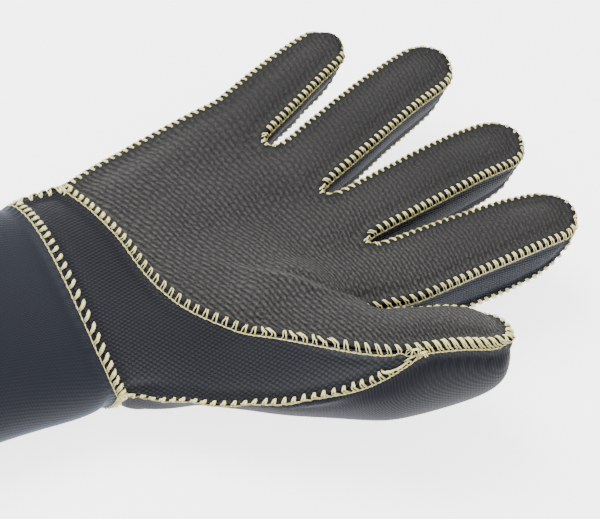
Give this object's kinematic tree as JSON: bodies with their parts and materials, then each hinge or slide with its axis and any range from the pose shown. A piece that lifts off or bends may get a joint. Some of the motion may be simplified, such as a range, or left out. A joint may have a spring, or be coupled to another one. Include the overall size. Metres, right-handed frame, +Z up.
{
  "type": "diving glove",
  "caption": "Soft right-hand diving glove of foam rubber with sewn panels, separate fingers and thumb, and a plain cuff, lying on its back with the palm up.",
  "frame": {"origin": "middle of the glove's footprint, on the surface that it lies on", "axes": "+X from the cuff towards the fingertips, +Z up out of the palm, -Y towards the thumb"},
  "size_m": [0.2482, 0.1472, 0.0513],
  "materials": {
    "palm_panel": "embossed grip cloth",
    "back_panel": "fine knitted jersey",
    "ulnar_side_strip": "fine knitted jersey",
    "little_ring_strip": "fine knitted jersey",
    "ring_middle_strip": "fine knitted jersey",
    "middle_index_strip": "fine knitted jersey",
    "index_thumb_strip": "fine knitted jersey",
    "heel_panel": "fine knitted jersey",
    "cuff": "smooth jersey"
  },
  "bodies": {
    "root": {"palm_panel": "palm_panel", "back_panel": "back_panel", "ulnar_side_strip": "ulnar_side_strip", "little_ring_strip": "little_ring_strip", "ring_middle_strip": "ring_middle_strip", "middle_index_strip": "middle_index_strip", "index_thumb_strip": "index_thumb_strip", "heel_panel": "heel_panel", "cuff": "cuff"}
  },
  "joints": []
}
